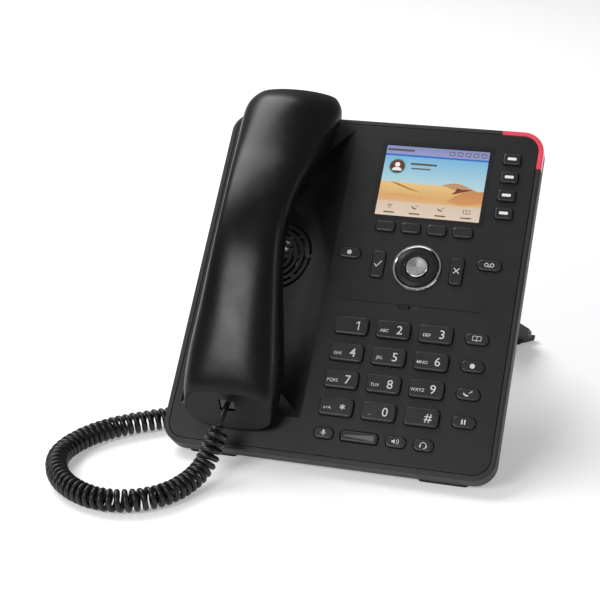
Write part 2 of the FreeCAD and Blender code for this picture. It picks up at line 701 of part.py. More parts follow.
# ---------------------------------------------------------------- assembly
def build():
    nodes = {}
    keys = key_table()
    outside = housing_outside()
    inside = housing_inside()
    nodes["rear_cover"] = place(build_rear_cover(outside, inside))
    nodes["front_cover"] = place(build_front_cover(keys))
    lens = outside.common(lens_region(0.0)).cut(
        slab(0, MID, WIDTH - 2 * RIM, HEIGHT - 2 * RIM, 9.3, -8, 4))
    nodes["message_light_lens"] = place(one_solid(lens))

    w, h = WINDOW_SIZE
    window = slab(LCD[0], LCD[1], w, h, 1.5, -1.25, 0)
    nodes["display_window"] = place(fillet_at(window, 0.0, 0.2))
    module = box(LCD[0] - 29.8, LCD[0] + 29.8, LCD[1] - 22.4, LCD[1] + 22.4,
                 -7.0, -1.3)
    module = module.cut(box(LCD[0] - LCD_SIZE[0] / 2, LCD[0] + LCD_SIZE[0] / 2,
                            LCD[1] - LCD_SIZE[1] / 2, LCD[1] + LCD_SIZE[1] / 2,
                            -1.6, 0))
    nodes["lcd_module"] = place(module)

    board = slab(35.0, 98.0, 92.0, 176.0, 3.0, -12.6, -11.0)
    board = board.cut([disc(x, y, 4.8, -14, -9) for x, y in SCREWS])
    for x, y, a, b, top in ((30.0, 60.0, 14.0, 14.0, -13.8),
                            (12.0, 160.0, 20.0, 12.0, -14.2),
                            (58.0, 100.0, 9.0, 12.0, -14.6)):
        board = board.fuse(box(x - a / 2, x + a / 2, y - b / 2, y + b / 2,
                               top, -12.5))
    nodes["main_board"] = place(one_solid(board))

    mat = slab(33.0, 73.0, 92.0, 132.0, 3.0, -9.2, -7.6)
    domes = []
    for row in keys:
        if row[2] < 138.0:
            domes.append(disc(row[1], row[2], 2.6, -7.8, -6.9))
    mat = mat.multiFuse(domes)
    ears = slab(LINE_X, 164.5, 14.0, 52.0, 2.0, -9.2, -7.6)
    mat = mat.fuse(ears)
    for y in LINE_Y:
        mat = mat.fuse(disc(LINE_X, y, 2.6, -7.8, -6.9))
    mat = mat.cut([disc(x, y, 4.4, -14, -5) for x, y in SCREWS])
    nodes["key_mat"] = place(one_solid(mat))

    gx, gy = GRILLE
    speaker = turned(gx, gy, [(0, -24.0), (11.0, -24.0), (11.0, -20.0),
                              (13.0, -20.0), (18.0, -14.2), (21.0, -14.2),
                              (21.0, -12.2), (18.6, -12.2), (15.5, -15.0),
                              (5.0, -18.0), (0, -17.0)])
    nodes["loudspeaker"] = place(speaker)

    jack_y = BAY_Y0 + WALL
    block = box(-68.0, 20.0, jack_y, jack_y + 15.0, -33.4, -24.2)
    for x, jw, jh, depth in JACKS:
        block = block.cut(socket(x, jw, jh, jack_y - 1, jack_y + depth,
                                 PLUG_CLEAR))
    barrel = Part.makeCylinder(3.0, 10, Vec(POWER_X, jack_y - 1, JACK_N),
                               Vec(0, 1, 0))
    pin = Part.makeCylinder(0.9, 10, Vec(POWER_X, jack_y, JACK_N),
                            Vec(0, 1, 0))
    nodes["jack_block"] = place(one_solid(block.cut(barrel).fuse(pin)))

    hook = slab(CRADLE_X, 144.25, 10.0, 2.5, 0.6, -13.0, -2.4)
    nodes["handset_rest_hook"] = place(fillet_at(hook, -2.4, 0.8))

    screws = []
    for x, y in SCREWS:
        head = disc(x, y, 2.6, -BACK + 1.5, -BACK + 3.4)
        slot = box(x - 2.0, x + 2.0, y - 0.35, y + 0.35, -BACK, -BACK + 2.3)
        slot = slot.fuse(box(x - 0.35, x + 0.35, y - 2.0, y + 2.0,
                             -BACK, -BACK + 2.3))
        shank = disc(x, y, 1.25, -BACK + 3.2, -5.0)
        screws.append(place(head.fuse(shank).cut(slot)))
    nodes["cover_screws"] = Part.makeCompound(screws)

    level = SIDE * SIN
    pads = [table_pad(s * 62.0, level + TAPER * 0.5, 26.0, 9.0, PAD)
            for s in (-1, 1)]
    nodes["rubber_feet"] = Part.makeCompound(pads)

    nodes["footstand"] = build_footstand()
    pads = [table_pad(s * 68.0, 198.6, 12.0, 8.0, PAD) for s in (-1, 1)]
    nodes["stand_feet"] = Part.makeCompound(pads)

    # hook switch: an arm under the floor with a tab through it
    lever = prism_x([(148.6, -15.4), (166.6, -14.6), (166.6, -6.6),
                     (165.4, -6.0), (163.0, -6.6), (161.0, -9.5),
                     (160.6, -12.6), (148.6, -12.9)],
                    CRADLE_X - 3.9, CRADLE_X + 3.9)
    nodes["hook_lever"] = place(lever)

    # navigation cluster
    trim = turned(NAV[0], NAV[1], [(NAV_TRIM[0], -PLATE), (NAV_TRIM[1], -PLATE),
                                   (NAV_TRIM[1], 0.5), (12.9, 1.1),
                                   (12.2, 1.2), (NAV_TRIM[0], 0.8)])
    nodes["nav_trim"] = place(trim)
    ring = turned(NAV[0], NAV[1], [(NAV_RING[0], -3.6), (10.8, -3.6),
                                   (NAV_RING[1], -2.0), (NAV_RING[1], 0.7),
                                   (11.2, 1.1), (9.0, 1.5), (7.0, 1.3),
                                   (NAV_RING[0], 0.9)])
    nodes["nav_rocker"] = place(ring)
    carrier = turned(NAV[0], NAV[1], [(6.5, -5.6), (9.0, -5.6),
                                      (9.0, -4.5), (6.5, -4.5)])
    nodes["nav_carrier"] = place(carrier)
    ok = turned(NAV[0], NAV[1], [(0, -6.6), (3.0, -6.6), (3.0, -4.0),
                                 (OK_RADIUS, -3.4), (OK_RADIUS, 1.5),
                                 (5.4, 1.9), (4.6, 1.9), (0, 1.4)])
    nodes["ok_button"] = place(ok)

    for row in keys:
        nodes[row[0]] = place(key_cap(row))

    back, front = build_handset()
    nodes["handset_back_shell"] = place(back)
    nodes["handset_inner_shell"] = place(front)
    receiver = turned(CRADLE_X, EAR_Y, [(0, 4.0), (10.5, 4.0), (11.5, 5.0),
                                        (11.5, 7.6), (7.0, 9.2), (0, 9.2)])
    nodes["earpiece_receiver"] = place(receiver)
    nodes["handset_microphone"] = place(disc(CRADLE_X, MOUTH_Y, 3.0, 1.6, 4.2))
    plug = along_axis(PLUG[0], PLUG[1], -12.0, -1.0)
    nodes["handset_plug"] = place(plug)

    base = socket(JACK_X, PLUG[0], PLUG[1], BAY_Y0 - 6.0, jack_y + 9.5, 0.0)
    boot = Part.makeCone(1.9, 2.9, 4.0, Vec(JACK_X, BAY_Y0 - 9.0, JACK_N),
                         Vec(0, 1, 0))
    nodes["base_plug"] = place(base.fuse(boot))
    nodes.update(build_cord())
    return nodes


CORD_NODES = ("handset_cord", "cord_tail_upper", "cord_tail_lower",
              "base_plug", "handset_plug")


def main():
    nodes = build()
    y0 = 1e9
    y1 = -1e9
    for name, shape in nodes.items():
        if name not in CORD_NODES:
            b = shape.optimalBoundingBox()
            y0 = min(y0, b.YMin)
            y1 = max(y1, b.YMax)
    middle = (y0 + y1) / 2
    print("footprint depth %.2f, middle at %.3f" % (y1 - y0, middle))
    os.makedirs("parts", exist_ok=True)
    for name, shape in nodes.items():
        shape.translate(Vec(0, -middle, 0))
        if not shape.isValid():
            print("not valid:", name)
        shape.exportStep("parts/%s.step" % name)
    print(len(nodes), "nodes")


main()
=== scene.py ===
import json
import math

import bmesh
import bpy
from mathutils import Matrix, Vector


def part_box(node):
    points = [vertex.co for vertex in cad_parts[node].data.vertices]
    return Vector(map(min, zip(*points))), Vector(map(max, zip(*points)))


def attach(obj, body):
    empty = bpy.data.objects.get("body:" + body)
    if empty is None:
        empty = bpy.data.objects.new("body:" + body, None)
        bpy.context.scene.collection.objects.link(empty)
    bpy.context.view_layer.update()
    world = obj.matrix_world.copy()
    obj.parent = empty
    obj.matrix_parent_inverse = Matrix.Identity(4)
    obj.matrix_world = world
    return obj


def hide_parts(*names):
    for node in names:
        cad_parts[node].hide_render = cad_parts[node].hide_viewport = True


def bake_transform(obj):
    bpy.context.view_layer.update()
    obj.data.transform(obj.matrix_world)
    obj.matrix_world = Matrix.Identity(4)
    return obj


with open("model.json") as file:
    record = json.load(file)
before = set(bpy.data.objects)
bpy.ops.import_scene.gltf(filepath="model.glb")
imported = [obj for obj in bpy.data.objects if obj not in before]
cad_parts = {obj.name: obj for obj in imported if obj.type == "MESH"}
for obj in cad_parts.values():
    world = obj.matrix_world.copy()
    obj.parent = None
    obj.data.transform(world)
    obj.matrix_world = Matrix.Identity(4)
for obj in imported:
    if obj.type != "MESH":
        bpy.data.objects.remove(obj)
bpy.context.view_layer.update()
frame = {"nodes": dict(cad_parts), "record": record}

# ------------------------------------------------------------- phone frame
# x to the right, y up the face, n out of it, in millimetres, as in the CAD
TILT = math.radians(46.0)
SIN, COS = math.sin(TILT), math.cos(TILT)
DEPTH = 21.0            # the housing, from its face to its back
SIDE = 10.0             # straight part of its side wall
PAD = 1.9               # height of the rubber pads under it
LIFT = PAD + SIDE * COS
feet_low, feet_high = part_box("rubber_feet")
PAD_Y = SIDE * SIN + (DEPTH - SIDE) * COS / SIN / 2
MIDDLE = PAD_Y - 500.0 * (feet_low[1] + feet_high[1])
FACE = (Matrix.Translation((0, -MIDDLE / 1000, LIFT / 1000))
        @ Matrix.Rotation(TILT, 4, "X") @ Matrix.Scale(0.001, 4))


def at(x, y, n):
    """A point of the phone's frame, in metres."""
    return FACE @ Vector((x, y, n))


def on_table(x, y, z):
    """Same, for a point given over the table from the face's lower edge."""
    return Vector((x, y - MIDDLE, z)) / 1000


# ---------------------------------------------------------------- materials
def linear(code):
    """Hex colour to linear RGBA."""
    out = []
    for k in (0, 2, 4):
        v = int(code[k:k + 2], 16) / 255
        out.append(v / 12.92 if v < 0.04045 else ((v + 0.055) / 1.055) ** 2.4)
    return (*out, 1.0)


class Mat:
    """A Principled material with a few procedural layers."""

    def __init__(self, name, color, rough=0.5, metal=0.0, spec=0.5, coat=0.0,
                 coat_rough=0.1):
        self.mat = bpy.data.materials.new(name)
        self.mat.use_nodes = True
        self.nodes = self.mat.node_tree.nodes
        self.links = self.mat.node_tree.links
        self.bsdf = self.nodes["Principled BSDF"]
        self.color = linear(color) if isinstance(color, str) else color
        self.rough = rough
        self.set("Base Color", self.color)
        self.set("Roughness", rough)
        self.set("Metallic", metal)
        self.set("Specular IOR Level", spec)
        self.set("Coat Weight", coat)
        self.set("Coat Roughness", coat_rough)
        self.coord = self.nodes.new("ShaderNodeTexCoord").outputs["Object"]
        self.normal = None

    def set(self, socket, value):
        self.bsdf.inputs[socket].default_value = value
        return self

    def noise(self, scale, detail=2.0, rough=0.5, stretch=None):
        node = self.nodes.new("ShaderNodeTexNoise")
        node.inputs["Scale"].default_value = scale
        node.inputs["Detail"].default_value = detail
        node.inputs["Roughness"].default_value = rough
        source = self.coord
        if stretch:
            mapping = self.nodes.new("ShaderNodeMapping")
            mapping.inputs["Scale"].default_value = stretch
            mapping.inputs["Rotation"].default_value = (-TILT, 0, 0)
            self.links.new(source, mapping.inputs["Vector"])
            source = mapping.outputs["Vector"]
        self.links.new(source, node.inputs["Vector"])
        return node.outputs["Fac"]

    def ramp(self, fac, low, high, a=0.3, b=0.7):
        node = self.nodes.new("ShaderNodeMapRange")
        node.inputs["From Min"].default_value = a
        node.inputs["From Max"].default_value = b
        node.inputs["To Min"].default_value = low
        node.inputs["To Max"].default_value = high
        self.links.new(fac, node.inputs["Value"])
        return node.outputs["Result"]

    def tint(self, fac, spread):
        """Base colour wanders by spread about its value."""
        node = self.nodes.new("ShaderNodeMix")
        node.data_type = "RGBA"
        low = [c * (1 - spread) for c in self.color[:3]] + [1]
        high = [c * (1 + spread) for c in self.color[:3]] + [1]
        node.inputs["A"].default_value = low
        node.inputs["B"].default_value = high
        self.links.new(self.ramp(fac, 0, 1), node.inputs["Factor"])
        self.links.new(node.outputs["Result"], self.bsdf.inputs["Base Color"])
        return self

    def gloss(self, fac, spread):
        low, high = self.rough - spread, self.rough + spread
        self.links.new(self.ramp(fac, low, high), self.bsdf.inputs["Roughness"])
        return self

    def bump(self, fac, height, strength=1.0):
        node = self.nodes.new("ShaderNodeBump")
        node.inputs["Strength"].default_value = strength
        node.inputs["Distance"].default_value = height
        self.links.new(fac, node.inputs["Height"])
        if self.normal:
            self.links.new(self.normal, node.inputs["Normal"])
        self.normal = node.outputs["Normal"]
        self.links.new(self.normal, self.bsdf.inputs["Normal"])
        return self

    def glow(self, color, strength):
        self.set("Emission Color", linear(color))
        self.set("Emission Strength", strength)
        return self

    def over_face(self, x, y):
        """Coordinates along the phone's axes, in metres, from x, y on it."""
        shift = self.nodes.new("ShaderNodeVectorMath")
        shift.operation = "SUBTRACT"
        shift.inputs[1].default_value = at(x, y, 0)
        self.links.new(self.coord, shift.inputs[0])
        turn = self.nodes.new("ShaderNodeVectorRotate")
        turn.rotation_type = "X_AXIS"
        turn.inputs["Angle"].default_value = -TILT
        self.links.new(shift.outputs["Vector"], turn.inputs["Vector"])
        parts = self.nodes.new("ShaderNodeSeparateXYZ")
        self.links.new(turn.outputs["Vector"], parts.inputs["Vector"])
        return parts.outputs


def grained(name, color, rough, grain, height, spec=0.5, coat=0.0):
    """Moulded plastic: fine spark-eroded grain, faint handling marks."""
    m = Mat(name, color, rough, spec=spec, coat=coat, coat_rough=0.25)
    fine = m.noise(grain, 3.0, 0.6)
    broad = m.noise(28.0, 4.0, 0.55)
    m.tint(broad, 0.10).gloss(m.noise(70.0, 5.0, 0.6), 0.045)
    return m.bump(fine, height)


COVER = grained("cover_grain", (0.0105, 0.0106, 0.0110, 1), 0.46, 2600, 0.00002,
                spec=0.42)
BACKS = grained("back_grain", (0.017, 0.017, 0.018, 1), 0.56, 1800, 0.00004)
CAP = grained("key_satin", (0.020, 0.0202, 0.021, 1), 0.34, 3200, 0.000006)
HANDSET = grained("handset_satin", (0.004, 0.004, 0.0042, 1), 0.31, 2900,
                  0.000008, spec=0.27)
NAV = grained("nav_gloss", (0.010, 0.010, 0.011, 1), 0.16, 2200, 0.000003,
              coat=0.5)
SOCKET = grained("socket_plastic", (0.012, 0.012, 0.012, 1), 0.42, 1500,
                 0.00001)
RUBBER = grained("foot_rubber", (0.013, 0.013, 0.013, 1), 0.82, 1100, 0.00006)
MAT_GREY = grained("silicone_grey", "8d8d8d", 0.6, 900, 0.00002)
BOARD = grained("board_green", "0d4a26", 0.35, 600, 0.00003)
PLUG = grained("plug_smoky", (0.02, 0.02, 0.021, 1), 0.12, 900, 0.000004)
CORD = grained("cord_jacket", (0.005, 0.005, 0.0052, 1), 0.36, 1500, 0.000012,
               spec=0.4)

CHROME = Mat("trim_chrome", "f2f2f4", 0.16, 1.0)
CHROME.gloss(CHROME.noise(400.0, 3.0), 0.03)
CHROME.bump(CHROME.noise(900.0, 2.0), 0.000002)

STEEL = Mat("zinc_steel", "8f8f90", 0.34, 1.0)
STEEL.gloss(STEEL.noise(500.0, 4.0), 0.08).bump(STEEL.noise(1500.0), 0.00001)

LENS = Mat("light_lens", "e0485c", 0.22, spec=0.5)
LENS.set("Subsurface Weight", 0.35)
LENS.set("Subsurface Radius", (0.004, 0.0012, 0.0012))
LENS.set("Subsurface Scale", 1.0)
LENS.glow("ff6678", 0.16).gloss(LENS.noise(300.0, 3.0), 0.05)
LENS.tint(LENS.noise(120.0, 2.0), 0.06)
LENS.bump(LENS.noise(1800.0), 0.000006)

GLASS = Mat("display_glass", (1, 1, 1, 1), 0.03)
GLASS.set("Transmission Weight", 1.0).set("IOR", 1.45)
GLASS.gloss(GLASS.noise(60.0, 5.0), 0.015)


def ink(name, color):
    """Printed legend, slightly uneven."""
    m = Mat(name, color, 0.5)
    m.tint(m.noise(2400.0, 2.0), 0.08)
    return m.bump(m.noise(3000.0), 0.000004)


LEGEND = ink("legend_ink", "d6d8da")
GREY_INK = ink("legend_grey", "5e6063")
LIT = Mat("lit_window", "d4d6d8", 0.3).glow("ffffff", 0.22)
LIT.tint(LIT.noise(900.0, 2.0), 0.05).bump(LIT.noise(2000.0), 0.000004)
MASK = Mat("lcd_frame", (0.004, 0.004, 0.0045, 1), 0.4)
MASK.tint(MASK.noise(500.0, 2.0), 0.1)
PAINT = grained("window_paint", (0.0095, 0.0096, 0.0100, 1), 0.40, 2600,
                0.000008, spec=0.42)


OK_X, OK_Y = 31.5, 112.4


def brushed():
    """Silver button, turned so that its grain runs in circles, with painted
    highlight wedges in its colour.
    """
    m = Mat("ok_brushed_painted_sheen", "ececee", 0.27, 1.0)
    place = m.over_face(OK_X, OK_Y)
    angle = m.nodes.new("ShaderNodeMath")
    angle.operation = "ARCTAN2"
    m.links.new(place["Y"], angle.inputs[0])
    m.links.new(place["X"], angle.inputs[1])
    flat = m.nodes.new("ShaderNodeCombineXYZ")
    m.links.new(place["X"], flat.inputs["X"])
    m.links.new(place["Y"], flat.inputs["Y"])
    radius = m.nodes.new("ShaderNodeVectorMath")
    radius.operation = "LENGTH"
    m.links.new(flat.outputs["Vector"], radius.inputs[0])
    line = m.nodes.new("ShaderNodeCombineXYZ")
    m.links.new(radius.outputs["Value"], line.inputs["X"])
    groove = m.nodes.new("ShaderNodeTexNoise")
    groove.inputs["Scale"].default_value = 9000.0
    groove.inputs["Detail"].default_value = 3.0
    m.links.new(line.outputs["Vector"], groove.inputs["Vector"])
    m.bump(groove.outputs["Fac"], 0.00001, 0.6)
    # painted highlight: the base colour brightens and darkens in wedges that
    # fan out from the middle, standing in for the light a turned face reflects
    highlight_fan = m.nodes.new("ShaderNodeMath")
    highlight_fan.operation = "MULTIPLY"
    highlight_fan.inputs[1].default_value = 2.0
    m.links.new(angle.outputs["Value"], highlight_fan.inputs[0])
    highlight_wave = m.nodes.new("ShaderNodeMath")
    highlight_wave.operation = "SINE"
    m.links.new(highlight_fan.outputs["Value"], highlight_wave.inputs[0])
    m.tint(m.ramp(highlight_wave.outputs["Value"], 0.2, 0.8, -1, 1), 0.28)
    return m


OK_METAL = brushed()

SLOTS = {"cover_black": COVER, "key_black": CAP, "handset_black": HANDSET,
         "nav_gloss": NAV, "lens_red": LENS, "display_glass": GLASS,
         "lcd_panel": MASK, "board_green": BOARD, "silicone_grey": MAT_GREY,
         "speaker_metal": STEEL, "trim_chrome": CHROME, "ok_silver": OK_METAL,
         "jack_black": SOCKET, "foot_rubber": RUBBER, "screw_steel": STEEL,
         "plug_clear": PLUG, "cord_black": CORD}
COARSER = {"rear_cover": BACKS, "footstand": BACKS}
slot_of = {}
for part in frame["record"]["subparts"]:
    slot_of[part["node"]] = part["material_slot"]
for name, obj in frame["nodes"].items():
    look = COARSER.get(name, SLOTS[slot_of[name]]).mat
    obj.data.materials.clear()
    obj.data.materials.append(look)


# ---------------------------------------------------------------- flat work
CAPITAL = 0.69          # height of the font's capitals, as a share of its size


class Print:
    """Flat shapes in millimetres, printed on or set into a surface."""

    def __init__(self):
        self.bm = bmesh.new()

    def poly(self, pts):
        verts = [self.bm.verts.new((p[0], p[1], 0)) for p in pts]
        self.bm.faces.new(verts)
        return self

    def box(self, cx, cy, w, h, r=0.0):
        if r <= 0:
            a, b = w / 2, h / 2
            return self.poly([(cx - a, cy - b), (cx + a, cy - b),
                              (cx + a, cy + b), (cx - a, cy + b)])
        pts = []
        for sx, sy, start in ((1, 1, 0), (-1, 1, 90), (-1, -1, 180),
                              (1, -1, 270)):
            for k in range(6):
                a = math.radians(start + 18 * k)
                pts.append((cx + sx * (w / 2 - r) + r * math.cos(a),
                            cy + sy * (h / 2 - r) + r * math.sin(a)))
        return self.poly(pts)

    def disc(self, cx, cy, r, n=28):
        return self.poly([(cx + r * math.cos(2 * math.pi * k / n),
                           cy + r * math.sin(2 * math.pi * k / n))
                          for k in range(n)])

    def line(self, pts, width):
        """Stroke with mitred joints and square ends."""
        left, right = [], []
        count = len(pts)
        for i, p in enumerate(pts):
            a = pts[max(i - 1, 0)]
            b = pts[min(i + 1, count - 1)]
            d1 = Vector((p[0] - a[0], p[1] - a[1]))
            d2 = Vector((b[0] - p[0], b[1] - p[1]))
            d1 = d1.normalized() if d1.length else d2.normalized()
            d2 = d2.normalized() if d2.length else d1
            mean = (d1 + d2).normalized()
            side = Vector((-mean.y, mean.x))
            grow = width / 2 / max(0.4, side.dot(Vector((-d1.y, d1.x))))
            left.append((p[0] + side.x * grow, p[1] + side.y * grow))
            right.append((p[0] - side.x * grow, p[1] - side.y * grow))
        for i in range(count - 1):
            self.poly([left[i], right[i], right[i + 1], left[i + 1]])
        return self

    def arc(self, cx, cy, r, a0, a1, width, n=24):
        pts = []
        for k in range(n + 1):
            a = math.radians(a0 + (a1 - a0) * k / n)
            pts.append((cx + r * math.cos(a), cy + r * math.sin(a)))
        return self.line(pts, width)

    def text(self, words, cx, cy, height, bold=0.0):
        """Words in the built-in font, with capitals this high."""
        curve = bpy.data.curves.new("glyphs", "FONT")
        curve.body = words
        curve.size = height / CAPITAL
        curve.align_x = "CENTER"
        curve.offset = bold
        curve.resolution_u = 4
        holder = bpy.data.objects.new("glyphs", curve)
        mesh = bpy.data.meshes.new_from_object(holder)
        mesh.transform(Matrix.Translation((cx, cy - height / 2, 0)))
        self.bm.from_mesh(mesh)
        bpy.data.meshes.remove(mesh)
        bpy.data.objects.remove(holder)
        bpy.data.curves.remove(curve)
        return self

    def place(self, name, body, look, x, y, n, slot, depth=0.0):
        """Turn the shapes into a piece at x, y, n that rides on body."""
        if depth:
            faces = list(self.bm.faces)
            grown = bmesh.ops.extrude_face_region(self.bm, geom=faces)
            moved = [v for v in grown["geom"]
                     if isinstance(v, bmesh.types.BMVert)]
            bmesh.ops.translate(self.bm, verts=moved, vec=(0, 0, depth))
            bmesh.ops.recalc_face_normals(self.bm, faces=self.bm.faces)
        mesh = bpy.data.meshes.new(name)
        self.bm.to_mesh(mesh)
        self.bm.free()
        mesh.transform(FACE @ Matrix.Translation((x, y, n)))
        mesh.materials.append(look.mat)
        obj = bpy.data.objects.new(name, mesh)
        bpy.context.scene.collection.objects.link(obj)
        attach(obj, body)


# ------------------------------------------------------------ key legends
DIGIT_X = (2.5, 25.15, 47.8)
DIGIT_Y = (75.2, 60.0, 44.8, 29.6)
ROWS = ((("1", ""), ("2", "ABC"), ("3", "DEF")),
        (("4", "GHI"), ("5", "JKL"), ("6", "MNO")),
        (("7", "PQRS"), ("8", "TUV"), ("9", "WXYZ")),
        (("star", "a+A"), ("0", "_"), ("hash", "")))
DIAL_TOP = 2.2          # tops of the keys over the face
FLAT_TOP = 1.3
ROUND_TOP = 1.5
LINE_TOP = 1.5
INK = 0.03              # ink over the key's top
BOLD = 0.01
DIGIT_RIGHT = 3.6       # the digit's place on its key, and its height
DIGIT_HIGH = 4.7
STAR_ARM = 1.5
LETTERS_AT = (-4.4, -1.0)
LETTERS_HIGH = 1.7
for row, y in zip(ROWS, DIGIT_Y):
    for (digit, letters), x in zip(row, DIGIT_X):
        art = Print()
        if digit == "star":
            for k in range(3):
                a = math.radians(60 * k + 30)
                dx, dy = STAR_ARM * math.cos(a), STAR_ARM * math.sin(a)
                art.line([(DIGIT_RIGHT - dx, -dy), (DIGIT_RIGHT + dx, dy)],
                         0.5)
        elif digit == "1":
            art.line([(2.7, 1.35), (4.15, 2.2), (4.15, -2.35)], 0.6)
        else:
            glyph = "#" if digit == "hash" else digit
            art.text(glyph, DIGIT_RIGHT, 0.0, DIGIT_HIGH, BOLD)
        if letters:
            art.text(letters, *LETTERS_AT, LETTERS_HIGH, BOLD)
        art.place("legend_" + digit, "key_%s_cap" % digit, LEGEND, x, y,
                  DIAL_TOP + INK, "key_black")


def icon_book(a):
    a.line([(0, -1.3), (0, 1.1)], 0.28)
    for s in (-1, 1):
        a.line([(0, 1.1), (s * 1.0, 1.5), (s * 2.2, 1.3), (s * 2.2, -1.1),
                (s * 1.0, -0.9), (0, -1.3)], 0.28)


def icon_menu(a):
    a.disc(0, 0, 1.35)


def icon_transfer(a):
    a.arc(-0.4, 1.0, 2.0, 200, 290, 0.75)
    a.line([(0.3, 0.3), (1.9, 1.5)], 0.32)
    a.poly([(2.3, 1.8), (1.1, 1.6), (1.9, 0.7)])


def icon_hold(a):
    a.box(-0.75, 0, 0.75, 2.6)
    a.box(0.75, 0, 0.75, 2.6)


def icon_mute(a):
    a.box(0, 0.5, 1.1, 2.0, 0.5)
    a.arc(0, 0.3, 1.25, 180, 360, 0.26)
    a.line([(0, -0.9), (0, -1.7)], 0.26)


def icon_speaker(a):
    a.poly([(-2.0, -0.5), (-1.2, -0.5), (-0.3, -1.3), (-0.3, 1.3),
            (-1.2, 0.5), (-2.0, 0.5)])
    a.arc(-0.3, 0, 1.1, -45, 45, 0.28)
    a.arc(-0.3, 0, 2.0, -45, 45, 0.28)


def icon_headset(a):
    a.arc(0, -0.2, 1.55, 0, 180, 0.3)
    a.box(-1.55, -0.7, 0.75, 1.4, 0.3)
    a.box(1.55, -0.7, 0.75, 1.4, 0.3)
    a.line([(1.55, -1.3), (1.0, -1.8), (0.2, -1.8)], 0.26)


def icon_check(a):
    a.line([(-1.9, -0.1), (-0.6, -1.6), (2.0, 1.7)], 0.5)


def icon_cross(a):
    a.line([(-1.5, -1.5), (1.5, 1.5)], 0.5)
    a.line([(-1.5, 1.5), (1.5, -1.5)], 0.5)


def icon_dnd(a):
    a.disc(0, 0, 1.3)


def icon_voicemail(a):
    a.arc(-1.5, 0, 0.95, 0, 360, 0.4)
    a.arc(1.5, 0, 0.95, 0, 360, 0.4)
    a.line([(-1.5, -0.95), (1.5, -0.95)], 0.4)


ICONS = (("directory_key", 69.5, 75.3, FLAT_TOP, icon_book),
         ("menu_key", 69.5, 60.1, FLAT_TOP, icon_menu),
         ("transfer_key", 69.5, 44.9, FLAT_TOP, icon_transfer),
         ("hold_key", 69.5, 29.7, FLAT_TOP, icon_hold),
         ("mute_key", -1.5, 15.0, FLAT_TOP, icon_mute),
         ("speaker_key", 36.6, 15.0, FLAT_TOP, icon_speaker),
         ("headset_key", 51.1, 15.0, FLAT_TOP, icon_headset),
         ("confirm_key", 10.2, 112.2, ROUND_TOP, icon_check),
         ("cancel_key", 53.0, 112.2, ROUND_TOP, icon_cross),
         ("dnd_key", -6.5, 117.4, FLAT_TOP, icon_dnd),
         ("voicemail_key", 69.8, 117.4, FLAT_TOP, icon_voicemail))
for key, x, y, top, draw in ICONS:
    art = Print()
    draw(art)
    art.place("icon_" + key, key + "_cap", LEGEND, x, y, top + INK,
              "key_black")
wedge = Print().poly([(-8.0, -0.35), (8.0, -1.5), (8.0, 1.5), (-8.0, 0.1)])
wedge.place("volume_wedge", "volume", GREY_INK, 17.3, 15.0, FLAT_TOP + INK,
            "key_black")
PANE_X = 72.9           # lit window of a line key, sunk into its cap
PANE_SUNK = 0.33
PANE_THICK = 0.28
for i, y in enumerate((181.0, 170.0, 159.0, 148.3)):
    pane = Print().box(0, 0, 4.8, 1.6, 0.5)
    pane.place("line_lamp_%d" % (i + 1), "line_key_%d_cap" % (i + 1), LIT,
               PANE_X, y, LINE_TOP - PANE_SUNK, "key_black",
               depth=PANE_THICK)

# ---------------------------------------------------------------- display
LCD_X, LCD_Y = 31.5, 163.5
W, H = 57.6, 43.2       # the picture's width and height
GROUND = -H / 2 + 9.0   # lower edge of the dunes, behind the soft keys' bar
HILL_STEP = 1.2
RIPPLE = 0.0012         # how far noise moves a colour up or down, in metres


def screen_mat(name, top, bottom, low, high, strength=0.9):
    """Backlit layer whose colour runs from bottom to top of the screen."""
    m = Mat(name, (0.0, 0.0, 0.0, 1), 0.4)
    place = m.over_face(LCD_X, LCD_Y)
    grain = m.noise(260.0, 3.0, 0.6, (1.0, 3.5, 1.0))
    up = m.nodes.new("ShaderNodeMath")
    up.operation = "MULTIPLY_ADD"
    up.inputs[1].default_value = RIPPLE
    m.links.new(grain, up.inputs[0])
    m.links.new(place["Y"], up.inputs[2])
    mix = m.nodes.new("ShaderNodeMix")
    mix.data_type = "RGBA"
    mix.inputs["A"].default_value = linear(bottom)
    mix.inputs["B"].default_value = linear(top)
    m.links.new(m.ramp(up.outputs["Value"], 0, 1, low / 1000, high / 1000),
                mix.inputs["Factor"])
    m.links.new(mix.outputs["Result"], m.bsdf.inputs["Emission Color"])
    m.set("Emission Strength", strength)
    return m


def hills(height):
    """Ground below the curve height(x), across the screen."""
    pts = [(W / 2, GROUND), (-W / 2, GROUND)]
    count = int(W / HILL_STEP)
    for k in range(count + 1):
        x = -W / 2 + W * k / count
        pts.append((x, height(x)))
    return pts


def dunes(base, slope, waves):
    """Height of a row of dunes: a line and (size, length, shift) waves."""
    def height(x):
        y = base + slope * x
        for size, length, shift in waves:
            y += size * math.sin(x / length + shift)
        return y
    return height


LAYER = -1.55           # lowest printed layer, under the window
SHEET = 0.015           # from one layer to the next
SKY = screen_mat("screen_sky", "7fc0e6", "bfe3ea", -1.0, 16.0)
FAR = screen_mat("screen_far_dunes", "c8946a", "dca878", -8.0, 2.0)
MID = screen_mat("screen_dunes", "f6cf8c", "e3ac68", -11.0, 0.5)
NEAR = screen_mat("screen_near_dunes", "e0a05c", "eebf8a", -13.0, -5.0)
WARM = screen_mat("screen_warm_dune", "d08c50", "e2a468", -13.0, -2.0)
SHADE = screen_mat("screen_dune_shade", "6a2e1a", "8a4a2c", -6.0, 0.0)
RIDGE = screen_mat("screen_ridge", "a86e3e", "c08a54", -8.0, 0.0)
BAR = screen_mat("screen_status_bar", "8f97c8", "a2a4d6", 16.0, 21.6)
RULE = screen_mat("screen_rule", "2f6fd0", "3f80da", 15.0, 16.6)
SOFT = screen_mat("screen_soft_bar", "e6cfb8", "eed9c4", -21.6, -13.0)
SIGN = screen_mat("screen_signs", "ffffff", "f2f2f2", -20.0, 20.0)
DARK = screen_mat("screen_dark_signs", "6a625c", "585450", -20.0, 20.0, 0.7)
